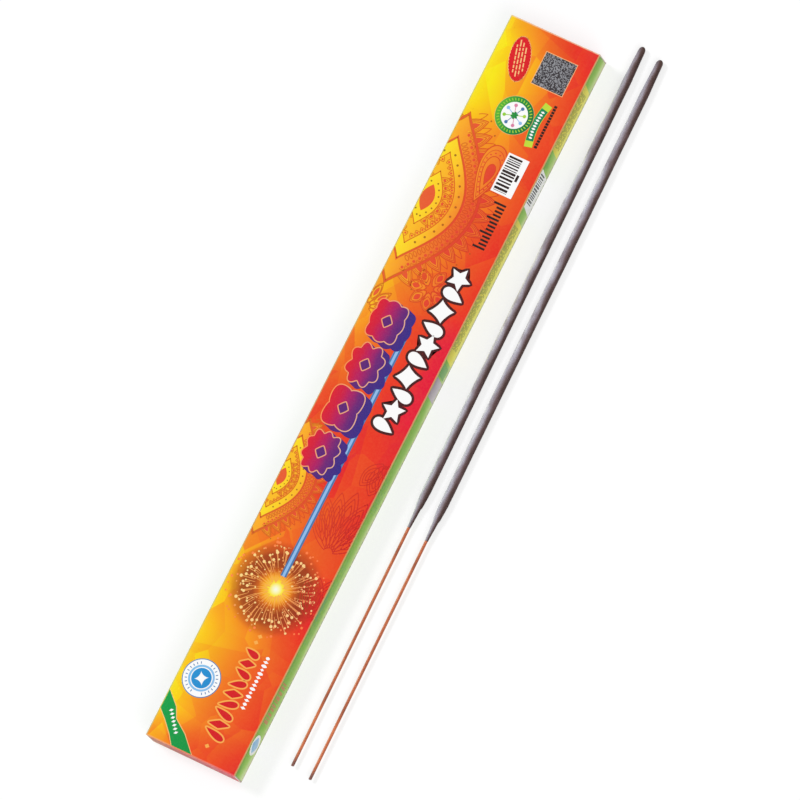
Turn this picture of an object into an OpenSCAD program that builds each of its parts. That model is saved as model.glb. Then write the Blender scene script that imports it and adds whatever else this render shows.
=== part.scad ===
// A folding carton of long sparklers, with two sparklers of the set laid out beside it.
// The carton lies on its back panel with the printed front panel up.
// +Z is up, +Y runs towards the coated tips, and the loose sparklers lie on the +X side.

/* [Sparkler] */
// Whole length of a sparkler, from its rounded tip to the cut end of the wire
sparkler_length = 300; // [240:1:400]
// Length of the coating, with the thin foot that runs out along the wire
coated_length = 201; // [60:1:220]
// Diameter over the full coating
coating_diameter = 3.8; // [3:0.1:7]
// Diameter of the core wire
wire_diameter = 1.2; // [0.8:0.05:1.8]
// Diameter of the coating where its tip begins to round over
tip_diameter = 3.4; // [2.4:0.1:3.8]
// Length over which the coating swells from its tip to the full diameter
tip_swell_length = 14; // [4:1:30]
// Length of the rounded end of the tip
tip_round_length = 1.7; // [0.8:0.1:3]
// Thickness of coating between the end of the wire and the tip
tip_cover = 2.4; // [0.8:0.1:6]
// Length over which the second dip narrows above its step
shoulder_length = 6; // [2:0.5:15]
// Diameter at the lower end of the second dip
shoulder_end_diameter = 3; // [2.6:0.1:3.8]
// Length of the step between the second dip and the first
step_length = 0.8; // [0.3:0.1:3]
// Length of the foot that the first dip leaves below the second
foot_length = 8; // [2:0.5:20]
// Diameter at the upper end of the foot
foot_diameter = 2.4; // [2:0.1:3]
// Thickness of the film where the foot runs out on the wire
film_thickness = 0.12; // [0.05:0.01:0.3]

/* [Carton board] */
// Thickness of the folding board
board = 0.4; // [0.3:0.05:0.6]
// Gap left at a crease between two pieces that turn against each other
crease_gap = 0.05; // [0.02:0.01:0.1]

/* [Carton room] */
// Number of sparklers packed in the carton, side by side
packed_count = 8; // [6:1:10]
// Spare width beside each packed sparkler
side_play = 0.8; // [0.3:0.1:3]
// Spare length of the carton over a packed sparkler
end_play = 0.8; // [0.2:0.1:6]
// Clear height above the row of packed sparklers
head_room = 6.3; // [4.5:0.1:20]
// Gap between the row and the tuck tongues that it lies on
row_lift = 0.3; // [0.1:0.05:0.5]

/* [Tuck closures] */
// Length of a tuck tongue, from its crease
tongue_length = 5.5; // [4:0.5:8]
// Gap between a tuck tongue and the back panel
tongue_seat = 0.4; // [0.4:0.05:0.6]
// Distance from a tuck tongue to the side walls
tongue_side_gap = 1.2; // [1:0.1:3]
// Radius of the tuck tongue's free corners
tongue_corner_radius = 2.5; // [1:0.1:3.5]
// Amount by which the tuck tongue narrows at each side towards its edge
tongue_draft = 0.8; // [0.2:0.1:2]
// Amount by which the closure panel is narrower than the carton at each side
closure_relief = 0.25; // [0.1:0.05:0.6]
// Radius of the closure panel's lower corners
closure_corner_radius = 0.6; // [0.2:0.1:1]

/* [Dust flaps] */
// Length of a dust flap, from the outer side of the carton
dust_flap_length = 12; // [6:0.5:14]
// Slope of the dust flap's edge beside the front panel, in degrees
dust_flap_top_slope = 16; // [5:1:22]
// Slope of the dust flap's edge above the tuck tongue, in degrees
dust_flap_bottom_slope = 8; // [2:1:12]
// Gap between a dust flap and the tuck tongue under it
dust_flap_lift = 0.35; // [0.35:0.05:0.8]
// Gap between a dust flap and the closure panel in front of it
dust_flap_gap = 0.15; // [0.1:0.05:0.3]
// Radius of the dust flap's free corners
dust_flap_corner_radius = 1.4; // [0.5:0.1:1.8]

/* [Glue flap] */
// Height of the glue flap on the inner face of the left side panel
glue_flap_height = 9.4; // [5:0.1:10]
// Distance from the carton's ends to the glue flap
glue_flap_setback = 9; // [7:0.5:30]
// Length of the glue flap's slanted ends
glue_flap_taper = 4; // [1:0.5:10]

/* [Loose sparklers] */
// Distance from the carton's middle to the middle of the inner loose sparkler, across
loose_across_distance = 31.9; // [26:0.1:60]
// Distance from the carton's middle to the middle of the inner loose sparkler, along
loose_along_distance = 12.3; // [-20:0.1:40]
// Distance between the loose sparklers
loose_spacing_distance = 8.4; // [5:0.1:30]
// Distance by which the outer loose sparkler lies further back
loose_stagger_distance = 1.8; // [0:0.1:20]
// Turn of the loose sparklers against the carton, in degrees
loose_turn = 0.85; // [0:0.05:2]

/* [Hidden] */
$fn = 48;
loose_count = 2;
fold_share = 0.8;
full_turn = 360;
half_turn = full_turn / 2;
quarter_turn = full_turn / 4;
ends = ["top", "bottom"];
sides = ["left", "right"];

// Radii and places along a sparkler, measured from its middle
wire_radius = wire_diameter / 2;
coating_radius = coating_diameter / 2;
tip_y = sparkler_length / 2;
wire_end_y = -sparkler_length / 2;
wire_tip_y = tip_y - tip_cover;
foot_end_y = tip_y - coated_length;
foot_top_y = foot_end_y + foot_length;
shoulder_end_y = foot_top_y + step_length;
shoulder_top_y = shoulder_end_y + shoulder_length;
tip_round_steps = 8;

// Outer radius of the folds, as a share of the board that bends there
fold_radius = board * fold_share;

// Stack of heights inside the carton, from the surface that it lies on
tongue_low_z = board + tongue_seat;
tongue_high_z = tongue_low_z + board;
row_z = tongue_high_z + row_lift + coating_radius;
inner_top_z = row_z + coating_radius + head_room;
carton_depth = inner_top_z + board;

// The carton is as wide and as long as what it holds needs
row_pitch = coating_diameter + side_play;
row_width = packed_count * row_pitch;
carton_width = row_width + 3 * board;
row_start_x = 2 * board - carton_width / 2;
flap_stack = 2 * board + dust_flap_gap;
carton_length = sparkler_length + end_play + 2 * flap_stack;
carton_end_y = carton_length / 2;
side_panel_end_y = carton_end_y - board - dust_flap_gap;

// Outlines of the end flaps
tongue_width = carton_width - 2 * (board + tongue_side_gap);
tongue_root = crease_gap;
closure_width = carton_width - 2 * closure_relief;
closure_top_z = inner_top_z - crease_gap;
dust_root_x = board + crease_gap;
dust_root_low_z = board + crease_gap;
dust_notch_z = tongue_high_z + dust_flap_lift;
dust_notch_x = dust_root_x + dust_notch_z - dust_root_low_z;
dust_top_z = inner_top_z - crease_gap;
dust_run = dust_flap_length - dust_notch_x;
dust_tip_low_z = dust_notch_z + dust_run * tan(dust_flap_bottom_slope);
dust_tip_high_z = dust_top_z - (dust_flap_length - dust_root_x) * tan(dust_flap_top_slope);
arc_steps = 8;

// The origin is under the middle of everything that lies on the surface
loose_half_length = sparkler_length / 2 * cos(loose_turn);
loose_outer_across = loose_across_distance + (loose_count - 1) * loose_spacing_distance;
loose_outer_reach = sparkler_length / 2 * sin(loose_turn) + wire_radius * cos(loose_turn);
set_low_x = -carton_width / 2;
set_high_x = loose_outer_across + loose_outer_reach;
set_low_y = -carton_end_y;
set_high_y = loose_along_distance + loose_half_length;
set_middle = [(set_low_x + set_high_x) / 2, (set_low_y + set_high_y) / 2, 0];

function unit(v) = v / norm(v);

// Direction of a vector in the plane, in degrees
function heading(v) = atan2(v[1], v[0]);

// Shortest turn from one direction to another, in degrees
function turn_between(from, to) = (to - from + full_turn + half_turn) % full_turn - half_turn;

// Points of one corner of an outline, rounded to a radius
function rounded_corner(corner, before, after, radius) =
    let (
        to_before = unit(before - corner),
        to_after = unit(after - corner),
        half_angle = acos(to_before * to_after) / 2,
        centre = corner + unit(to_before + to_after) * radius / sin(half_angle),
        start = corner + to_before * radius / tan(half_angle),
        finish = corner + to_after * radius / tan(half_angle),
        first = heading(start - centre),
        sweep = turn_between(first, heading(finish - centre))
    )
    [
        for (k = [0:arc_steps])
            let (angle = first + sweep * k / arc_steps)
            centre + radius * [cos(angle), sin(angle)]
    ];

// Outline through the given corners, each rounded to its own radius, or sharp where that is zero
function rounded_outline(corners, radii) =
    let (count = len(corners))
    [
        for (i = [0:count - 1])
            let (
                before = corners[(i + count - 1) % count],
                after = corners[(i + 1) % count]
            )
            each radii[i] > 0 ? rounded_corner(corners[i], before, after, radii[i]) : [corners[i]]
    ];

// Moves a piece drawn about the carton's middle to its place about the origin
module in_set() {
    translate(-set_middle) children();
}

// Draws a piece of the top end as it is, and a piece of the bottom end mirrored
module at_end(end) {
    in_set() mirror([0, end == "bottom" ? 1 : 0, 0]) children();
}

// Section of a board panel whose outer corners are rolled over into the folds
module rolled_section(span) {
    half_span = span / 2;
    polygon(rounded_outline(
        [[-half_span, -board], [half_span, -board], [half_span, 0], [-half_span, 0]],
        [0, 0, fold_radius, fold_radius]
    ));
}

// Board panel over the whole footprint of the carton, with its long edges rolled over
module long_sheet() {
    rotate([90, 0, 0]) linear_extrude(carton_length, center = true) rolled_section(carton_width);
}

// Printed panel on top, rolled over at its ends too, where the closures hinge
module front_panel() {
    color("orange") in_set() translate([0, 0, carton_depth]) intersection() {
        long_sheet();
        rotate([90, 0, 90]) linear_extrude(carton_width, center = true) rolled_section(carton_length);
    }
}

// Panel that the carton lies on
module back_panel() {
    color("gold") in_set() mirror([0, 0, 1]) long_sheet();
}

// Side wall between the front and the back panel, short of the ends by the flaps' board
module side_panel(hand) {
    translate([hand * (carton_width - board) / 2, 0, (board + inner_top_z) / 2])
        cube([board, 2 * side_panel_end_y, inner_top_z - board], center = true);
}

module left_side_panel() {
    color("yellowgreen") in_set() side_panel(-1);
}

module right_side_panel() {
    color("limegreen") in_set() side_panel(1);
}

// Seam of the sleeve, folded up from the back panel and glued inside the left wall
module glue_flap() {
    root_end = carton_end_y - glue_flap_setback;
    free_end = root_end - glue_flap_taper;
    color("beige") in_set() translate([board - carton_width / 2, 0, board])
        rotate([90, 0, 90]) linear_extrude(board) polygon([
            [-root_end, 0],
            [root_end, 0],
            [free_end, glue_flap_height],
            [-free_end, glue_flap_height]
        ]);
}

// Panel that covers the mouth of the carton, rolled over where the tuck tongue is folded in
module closure_panel(end) {
    half_width = closure_width / 2;
    inner_y = carton_end_y - board;
    face = rounded_outline(
        [
            [-half_width, tongue_low_z],
            [half_width, tongue_low_z],
            [half_width, closure_top_z],
            [-half_width, closure_top_z]
        ],
        [closure_corner_radius, closure_corner_radius, 0, 0]
    );
    section = rounded_outline(
        [
            [inner_y, tongue_low_z],
            [carton_end_y, tongue_low_z],
            [carton_end_y, closure_top_z],
            [inner_y, closure_top_z]
        ],
        [0, fold_radius, 0, 0]
    );
    color("darkorange") at_end(end) intersection() {
        translate([0, carton_end_y, 0]) rotate([90, 0, 0]) linear_extrude(board) polygon(face);
        rotate([90, 0, 90]) linear_extrude(closure_width, center = true) polygon(section);
    }
}

// Tongue that slides in along the back panel
module tuck_tongue(end) {
    half_root = tongue_width / 2;
    half_tip = half_root - tongue_draft;
    outline = rounded_outline(
        [
            [-half_root, tongue_root],
            [half_root, tongue_root],
            [half_tip, tongue_length],
            [-half_tip, tongue_length]
        ],
        [0, 0, tongue_corner_radius, tongue_corner_radius]
    );
    color("khaki") at_end(end) translate([0, carton_end_y - board, tongue_low_z])
        mirror([0, 1, 0]) linear_extrude(board) polygon(outline);
}

// Flap folded in from a side wall behind the closure panel, notched at the tuck tongue
module dust_flap(end, side) {
    outline = rounded_outline(
        [
            [dust_root_x, dust_root_low_z],
            [dust_notch_x, dust_notch_z],
            [dust_flap_length, dust_tip_low_z],
            [dust_flap_length, dust_tip_high_z],
            [dust_root_x, dust_top_z]
        ],
        [0, 0, dust_flap_corner_radius, dust_flap_corner_radius, 0]
    );
    color("lightyellow") at_end(end) mirror([side == "right" ? 1 : 0, 0, 0])
        translate([-carton_width / 2, side_panel_end_y, 0])
            rotate([90, 0, 0]) linear_extrude(board) polygon(outline);
}

// Places a sparkler drawn about its middle in the row inside the carton
module in_row(i) {
    in_set() translate([row_start_x + (i - 0.5) * row_pitch, 0, row_z]) children();
}

// Places a sparkler drawn about its middle on the surface beside the carton
module beside_carton(i) {
    in_set()
        translate([
            loose_across_distance + (i - 1) * loose_spacing_distance,
            loose_along_distance - (i - 1) * loose_stagger_distance,
            coating_radius
        ]) rotate([0, 0, loose_turn]) children();
}

// Core wire, bare along the handle and hidden by the coating above it
module wire() {
    color("peru") translate([0, wire_tip_y, 0])
        rotate([90, 0, 0]) cylinder(h = wire_tip_y - wire_end_y, r = wire_radius);
}

// Composition dried on the wire in two dips, turned from its profile of radius over length
module coating() {
    tip_radius = tip_diameter / 2;
    rounding_y = tip_y - tip_round_length;
    profile = concat(
        [
            [wire_radius, foot_end_y],
            [wire_radius + film_thickness, foot_end_y],
            [foot_diameter / 2, foot_top_y],
            [shoulder_end_diameter / 2, shoulder_end_y],
            [coating_radius, shoulder_top_y],
            [coating_radius, rounding_y - tip_swell_length]
        ],
        [
            for (k = [0:tip_round_steps])
                let (angle = quarter_turn * k / tip_round_steps)
                [tip_radius * cos(angle), rounding_y + tip_round_length * sin(angle)]
        ],
        [[0, wire_tip_y], [wire_radius, wire_tip_y]]
    );
    color("rosybrown") rotate([-90, 0, 0]) rotate_extrude() polygon(profile);
}

front_panel();
back_panel();
left_side_panel();
right_side_panel();
glue_flap();
for (end = ends) {
    closure_panel(end);
    tuck_tongue(end);
    for (side = sides) {
        dust_flap(end, side);
    }
}
for (i = [1:packed_count]) {
    in_row(i) wire();
    in_row(i) coating();
}
for (i = [1:loose_count]) {
    beside_carton(i) wire();
    beside_carton(i) coating();
}
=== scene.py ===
import random
from math import copysign, cos, dist, pi, radians, sin, sqrt, tau

import bmesh
import bpy
from mathutils import Matrix, Vector, noise


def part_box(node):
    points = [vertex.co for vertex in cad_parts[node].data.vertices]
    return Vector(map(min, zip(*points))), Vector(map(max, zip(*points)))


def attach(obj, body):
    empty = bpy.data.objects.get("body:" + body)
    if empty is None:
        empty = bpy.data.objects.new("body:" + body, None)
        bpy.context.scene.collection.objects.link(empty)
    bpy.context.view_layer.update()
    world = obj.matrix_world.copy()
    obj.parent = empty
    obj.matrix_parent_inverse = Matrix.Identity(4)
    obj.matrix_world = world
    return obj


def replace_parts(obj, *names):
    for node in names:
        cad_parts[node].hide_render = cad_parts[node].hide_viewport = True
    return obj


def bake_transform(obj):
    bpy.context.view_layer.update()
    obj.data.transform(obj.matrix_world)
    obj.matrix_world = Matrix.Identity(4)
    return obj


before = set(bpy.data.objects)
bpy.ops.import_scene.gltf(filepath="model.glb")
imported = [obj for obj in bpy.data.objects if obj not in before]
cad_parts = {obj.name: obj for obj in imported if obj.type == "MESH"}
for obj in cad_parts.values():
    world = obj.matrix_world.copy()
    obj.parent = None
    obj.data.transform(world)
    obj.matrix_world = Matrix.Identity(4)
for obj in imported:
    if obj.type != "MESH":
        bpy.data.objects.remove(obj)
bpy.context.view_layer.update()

MM = 0.001


def box_in_mm(node):
    """The low and the high corner of a CAD node at rest, in millimetres."""
    return [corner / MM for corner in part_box(node)]


# Faces and edges of the carton at rest, in millimetres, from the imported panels
front_low, front_high = box_in_mm("front_panel")
side_low, side_high = box_in_mm("right_side_panel")
LEFT, RIGHT = front_low.x, front_high.x
BOTTOM, TOP = front_low.y, front_high.y
INNER_TOP, FRONT = front_low.z, front_high.z
WIDTH, LENGTH, BOARD = RIGHT - LEFT, TOP - BOTTOM, FRONT - INNER_TOP
ROLL_SHARE, ROLL_ROOM, SIDE_ROLL = 0.8, 0.02, 0.06
ROLL = ROLL_SHARE * BOARD - ROLL_ROOM  # radius to which the front panel's edges are rolled over
INK_ROOM = 0.12  # depth left above the board for the ink films
PRINT_MARGIN, SIDE_MARGIN = 0.45, 0.1  # print on a flat face stops this far from its edges


def srgb(code):
    """A colour given as six hex digits in the usual display scale, as linear light."""
    shares = [level / 255 for level in bytes.fromhex(code)]
    return (*(x / 12.92 if x <= 0.04045 else ((x + 0.055) / 1.055) ** 2.4 for x in shares), 1.0)


def grey(level):
    return (level, level, level, 1.0)


def feed(tree, socket, value):
    """Links a socket to another, or sets it. A string is a colour."""
    if isinstance(value, bpy.types.NodeSocket):
        tree.links.new(value, socket)
    else:
        socket.default_value = srgb(value) if isinstance(value, str) else value


def new_node(tree, kind, inputs, **settings):
    """A node with its settings, and with what its inputs are fed, by name or number."""
    node = tree.nodes.new("ShaderNode" + kind)
    for name, value in settings.items():
        setattr(node, name, value)
    for key, value in inputs.items():
        feed(tree, node.inputs[key], value)
    return node


class Finish:
    """A material whose nodes are laid out step by step. Each step gives a socket for the next."""

    def __init__(self, name):
        self.material = bpy.data.materials.new(name)
        self.material.use_nodes = True
        self.tree = self.material.node_tree
        self.shader = self.tree.nodes["Principled BSDF"]
        self.place = self.node("TexCoord", {}).outputs["Object"]
        parts = self.node("SeparateXYZ", {0: self.place}).outputs
        self.x, self.y, self.z = (self.over(part, MM) for part in parts)
        # Places on the carton, in millimetres from its top end and from its left edge
        self.along, self.across = self.minus(TOP, self.y), self.minus(self.x, LEFT)

    def node(self, kind, inputs, **settings):
        return new_node(self.tree, kind, inputs, **settings)

    def math(self, operation, *values, clamp=False):
        return self.node("Math", dict(enumerate(values)), operation=operation, use_clamp=clamp).outputs[0]

    def plus(self, first, second):
        return self.math("ADD", first, second)

    def minus(self, first, second):
        return self.math("SUBTRACT", first, second)

    def times(self, first, second):
        return self.math("MULTIPLY", first, second)

    def over(self, first, second, clamp=False):
        return self.math("DIVIDE", first, second, clamp=clamp)

    def beyond(self, value, low, high):
        """1 where a value is below low or above high, and 0 between them."""
        above, below = self.math("GREATER_THAN", value, high), self.math("LESS_THAN", value, low)
        return self.math("MAXIMUM", above, below)

    def remap(self, value, low, high, to_low=0.0, to_high=1.0, smooth=True):
        """A value's way from low to high, as the way from to_low to to_high, held at both ends."""
        inputs = dict(enumerate((value, low, high, to_low, to_high)))
        kind = "SMOOTHSTEP" if smooth else "LINEAR"
        return self.node("MapRange", inputs, interpolation_type=kind).outputs[0]

    def mix(self, share, first, second):
        return self.node("Mix", {0: share, 6: first, 7: second}, data_type="RGBA").outputs[2]

    def ramp(self, share, stops, interpolation="LINEAR"):
        """Runs through stops between 0 and 1, each a colour or a plain level."""
        node = self.node("ValToRGB", {0: share})
        node.color_ramp.interpolation = interpolation
        elements = node.color_ramp.elements
        while len(elements) < len(stops):
            elements.new(1.0)
        for element, (position, colour) in zip(elements, stops):
            element.position = position
            element.color = srgb(colour) if isinstance(colour, str) else grey(colour)
        return node.outputs[0]

    def scaled(self, size, stretch):
        """Places in units of size millimetres, where along the carton only a share of each step counts."""
        scale = [share / (size * MM) for share in (1, stretch, 1)]
        return self.node("Mapping", {"Vector": self.place, "Scale": scale}).outputs[0]

    def noise(self, size, detail=2.0, roughness=0.5, distortion=0.0, stretch=1):
        """Noise from 0 to 1 whose blobs are about size millimetres across."""
        inputs = {"Vector": self.scaled(size, stretch), "Scale": 1.0, "Detail": detail}
        return self.node("TexNoise", inputs | {"Roughness": roughness, "Distortion": distortion}).outputs[0]

    def cells(self, size, stretch=1, output="Color", shake=1.0):
        """Cells about size millimetres across, each with a value of its own."""
        inputs = {"Vector": self.scaled(size, stretch), "Scale": 1.0, "Randomness": shake}
        return self.node("TexVoronoi", inputs).outputs[output]

    def split(self, colour):
        return self.node("SeparateColor", {0: colour}).outputs

    def bump(self, height, strength, depth):
        """depth is in millimetres."""
        node = self.node("Bump", {"Height": height, "Strength": strength, "Distance": depth * MM})
        feed(self.tree, self.shader.inputs["Normal"], node.outputs[0])

    def surface(self, colour, roughness, specular, metallic=0.0):
        names = ("Base Color", "Roughness", "Specular IOR Level", "Metallic")
        for name, value in zip(names, (colour, roughness, specular, metallic)):
            feed(self.tree, self.shader.inputs[name], value)
        return self.material


# The print across the front, from yellow through orange to red
FRONT_STOPS = [
    (0.00, "FDEE0C"), (0.14, "FFD40C"), (0.28, "FDB014"), (0.42, "F88C1A"), (0.56, "F26A1C"),
    (0.70, "EE4E1E"), (0.84, "EC3020"), (1.00, "E4142C"),
]
# Where in those stops the print stands at its left and at its right edge, along the carton
LEFT_STOPS = [
    (0.00, 0.24), (0.05, 0.02), (0.10, 0.00), (0.15, 0.14), (0.28, 0.18), (0.38, 0.34), (0.47, 0.50),
    (0.53, 0.72), (0.60, 0.70), (0.66, 0.38), (0.74, 0.32), (0.81, 0.18), (0.86, 0.02), (0.95, 0.04),
    (1.00, 0.30),
]
RIGHT_STOPS = [
    (0.00, 1.00), (0.06, 0.84), (0.12, 0.77), (0.22, 0.82), (0.34, 0.89), (0.44, 1.00), (0.54, 1.00),
    (0.64, 0.94), (0.72, 0.82), (0.78, 0.96), (0.84, 0.76), (0.93, 0.76), (1.00, 0.98),
]
BURST = (233.1, 19.5)  # its centre, from the top end and from the left edge
GLOW_STOPS = [
    (0.00, "FFFFF6"), (0.06, "FFFDBE"), (0.13, "FFEE46"), (0.21, "FFCC1E"), (0.29, "F29218"),
    (0.37, "CC6018"), (0.47, "A04216"), (0.62, "8C3414"), (0.80, "922C16"), (1.00, "BE2C1A"),
]
GLOW_SHARE_STOPS = [(0.0, 1.0), (0.5, 0.96), (0.68, 0.84), (0.82, 0.5), (1.0, 0.0)]
GLOW_RADIUS = 19.0
SIDE_STOPS = [
    (0.00, "DAEEB0"), (0.14, "C6E48E"), (0.38, "9ED058"), (0.66, "82BE36"), (1.00, "70AA24"),
]
BARE_BOARD, CUT_BOARD = "CEC8BC", "E8DECC"
PAPER_ROUGHNESS, PAPER_GLOSS = 0.36, 0.1
INK_MOTTLE = 0.025  # how far an ink film strays from its own colour
ACROSS, UP = (0, WIDTH), (0.4, 11.6)  # how far inks run over the front and up a side, in millimetres


def paper_touch(f, colour, roughness=PAPER_ROUGHNESS):
    """Adds the small unevenness of printed, varnished board to a colour."""
    soft = f.noise(14.0)
    uneven = f.mix(f.remap(f.noise(0.9, 3.0, 0.6), 0.3, 0.75, 0.0, 0.03), colour, "FFCE6E")
    uneven = f.mix(f.remap(soft, 0.3, 0.75, 0.0, 0.05), uneven, "78160A")
    fibres = f.noise(0.35, 4.0, 0.65, stretch=0.35)
    f.bump(f.plus(fibres, f.times(soft, 3.0)), 0.2, 0.015)
    rough = f.remap(f.noise(2.2, 3.0), 0.3, 0.7, roughness - 0.05, roughness + 0.08)
    return f.surface(uneven, rough, PAPER_GLOSS)


def front_colour(f):
    """The orange print: its colours, broken into facets, with the burst's glow."""
    facets = f.split(f.cells(13.0, 0.85, shake=0.85))
    broad = f.split(f.cells(27.0, 0.9, shake=0.9))
    end_share = f.over(f.along, LENGTH)
    left, right = (f.split(f.ramp(end_share, stops, "EASE"))[0] for stops in (LEFT_STOPS, RIGHT_STOPS))
    side_share = f.over(f.across, WIDTH, clamp=True)
    level = f.math("MULTIPLY_ADD", f.minus(right, left), side_share, left)
    swing = f.remap(side_share, 0.0, 1.0, 0.24, 0.13, smooth=False)
    level = f.math("MULTIPLY_ADD", f.minus(facets[0], 0.5), swing, level)
    level = f.math("MULTIPLY_ADD", f.minus(broad[1], 0.5), 0.12, level)
    colour = f.ramp(level, FRONT_STOPS)
    colour = f.mix(f.remap(facets[2], 0.0, 1.0, 0.0, 0.07, smooth=False), colour, "FF9628")
    # The middle of the carton is rosy towards the right
    middle = f.times(f.remap(f.along, 108, 126), f.remap(f.along, 172, 152))
    rosy = f.times(middle, f.remap(f.across, 0.68 * WIDTH, 0.94 * WIDTH))
    colour = f.mix(f.times(rosy, 0.8), colour, "E80E3E")
    squares = [f.math("POWER", f.minus(way, centre), 2.0) for way, centre in zip((f.along, f.across), BURST)]
    reach = f.over(f.math("SQRT", f.plus(*squares)), GLOW_RADIUS, clamp=True)
    share = f.split(f.ramp(reach, GLOW_SHARE_STOPS, "EASE"))[0]
    return f.mix(share, colour, f.ramp(reach, GLOW_STOPS))


def nearer_edge(f, value, low, high):
    """Distance from the nearer one of two edges."""
    return f.math("MINIMUM", f.minus(value, low), f.minus(high, value))


def fold_wear_and_highlight(f, colour, distance, tint, strength):
    """Lightens a colour where the board is folded: its print is stretched there, and a highlight is painted
    along the fold.
    """
    wear_and_highlight = f.remap(f.noise(1.6, 3.0, stretch=0.4), 0.2, 0.6, 0.7 * strength, strength)
    # Paler near the fold: stretched print and a painted highlight
    return f.mix(f.times(f.remap(distance, 0.62, 0.3), wear_and_highlight), colour, tint)


def front_finish():
    f = Finish("orange_print")
    foot_tint = f.ramp(f.over(f.across, WIDTH), [
        (0.0, "F2B082"), (0.5, "ECA082"), (0.75, "EC8C88"), (1.0, "F46C74"),
    ])
    # Pale along the side edges and both ends: stretched print and a painted highlight on the rolled folds
    colour = fold_wear_and_highlight(f, front_colour(f), nearer_edge(f, f.across, 0.0, WIDTH), "BEC884", 0.68)
    colour = fold_wear_and_highlight(f, colour, f.along, "FFDEB8", 0.72)
    return paper_touch(f, fold_wear_and_highlight(f, colour, f.minus(LENGTH, f.along), foot_tint, 0.68))


def closure_finish():
    """Printed outside and bare inside, and darker than the front, with shade painted across its middle and a
    highlight painted along its fold.
    """
    f = Finish("closure_print")
    skin, edge_band = 0.3, 0.45
    across = f.plus(f.over(f.across, WIDTH), f.remap(f.noise(9.0), 0.3, 0.7, -0.05, 0.05))
    colour = f.ramp(across, [
        (0.0, "CC6C38"), (0.3, "D05440"), (0.65, "E44450"), (1.0, "F63662"),
    ])
    # Painted shade: a darker, patchy streak across the middle of the closure's height
    middle = f.times(f.remap(f.z, 9.5, 6.5), f.remap(f.z, 1.5, 4.5))
    shadowy = f.times(middle, f.remap(f.noise(5.0), 0.3, 0.7, 0.1, 0.55))
    colour = f.mix(shadowy, colour, "842E28")
    # Painted highlight along the fold, with the stretched print there
    colour = fold_wear_and_highlight(f, colour, f.minus(INNER_TOP, f.z), "FF966E", 0.6)
    colour = f.mix(f.beyond(f.y, BOTTOM + skin, TOP - skin), BARE_BOARD, colour)
    return paper_touch(f, f.mix(f.beyond(f.x, LEFT + edge_band, RIGHT - edge_band), colour, CUT_BOARD))


def side_finish():
    """Green print that pales towards the lower fold, with stretched print and a painted highlight along both
    folds.
    """
    f = Finish("green_print")
    height = f.over(f.minus(f.z, BOARD), INNER_TOP - BOARD)
    wander = f.remap(f.noise(16.0, stretch=0.5), 0.25, 0.75, -0.14, 0.14)
    colour = f.ramp(f.plus(height, wander), SIDE_STOPS)
    patches = f.remap(f.noise(7.0, 1.0, stretch=0.6), 0.52, 0.75, 0.0, 0.4)
    colour = f.mix(f.times(patches, f.remap(height, 0.3, 0.7)), colour, "3A943E")
    # Paler along both folds: stretched print and a painted highlight
    return paper_touch(f, fold_wear_and_highlight(f, colour, nearer_edge(f, f.z, BOARD, INNER_TOP), "ECE896", 0.75))


def back_finish():
    """Printed like the front but paler, with the green of the sides on its edges, and light painted onto
    those edges against their shade by the floor.
    """
    f = Finish("back_print")
    skin, edge_band = 0.03, 0.3
    near = nearer_edge(f, f.across, 0.0, WIDTH)
    # Pale green on the edges, with stretched print and a painted highlight on the folds
    muted = fold_wear_and_highlight(f, f.mix(0.22, front_colour(f), "FABE5A"), near, "E2E2BE", 0.85)
    # Painted light: near white within the edge band, against the shade where the edges turn down to the floor
    muted = f.mix(f.math("LESS_THAN", near, edge_band), muted, "FAFFEA")
    return paper_touch(f, f.mix(f.math("GREATER_THAN", f.z, BOARD - skin), muted, BARE_BOARD), roughness=0.4)


def board_finish():
    """Unprinted board: grey and fibrous, with darker flecks."""
    f = Finish("bare_board")
    fibres = f.noise(0.5, 5.0, 0.7, distortion=0.6, stretch=0.3)
    colour = f.ramp(fibres, [(0.3, "BCB4A6"), (0.55, "D0CABE"), (0.75, "E0DBD1")])
    flecks = f.remap(f.cells(1.3, output="Distance"), 0.16, 0.1, 0.0, 0.45)
    f.bump(fibres, 0.4, 0.04)
    return f.surface(f.mix(flecks, colour, "847662"), f.remap(fibres, 0.3, 0.7, 0.78, 0.92), 0.2)


def ink_finish(name, reach, stops):
    """An ink film that runs through its stops over a reach in millimetres, across or, on a side, up."""
    f = Finish(name)
    spread = f.remap(f.noise(3.0, 3.0), 0.3, 0.7, -INK_MOTTLE, INK_MOTTLE)
    share = f.plus(f.remap(f.z if reach == UP else f.across, *reach, smooth=False), spread)
    colour = f.ramp(share, [(i / (len(stops) - 1), stop) for i, stop in enumerate(stops)])
    grain = f.noise(0.6, 3.0, 0.6)
    colour = f.mix(f.remap(grain, 0.35, 0.75, 0.0, 0.7 * INK_MOTTLE), colour, "FFEECE")
    f.bump(f.noise(0.35, 4.0, 0.65, stretch=0.35), 0.15, 0.012)
    rough = f.remap(grain, 0.3, 0.7, PAPER_ROUGHNESS - 0.04, PAPER_ROUGHNESS + 0.06)
    return f.surface(colour, rough, PAPER_GLOSS)


# Meshes of the carton
BEND_STEPS = 6  # faces round a rolled edge
BOARD_STEP = 3.0  # size of the faces of a sheet of board


def new_piece(name, points, faces, slot, materials, body=None, place=Matrix()):
    """A new piece from points in millimetres. It rides on a body, if one is given."""
    mesh = bpy.data.meshes.new(name)
    mesh.from_pydata([Vector(p) * MM for p in points], [], faces)
    mesh.update()
    for material in materials:
        mesh.materials.append(material)
    piece = bpy.data.objects.new(name, mesh)
    bpy.context.scene.collection.objects.link(piece)
    piece.matrix_world = place
    if body:
        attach(piece, body)
    return piece


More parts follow.
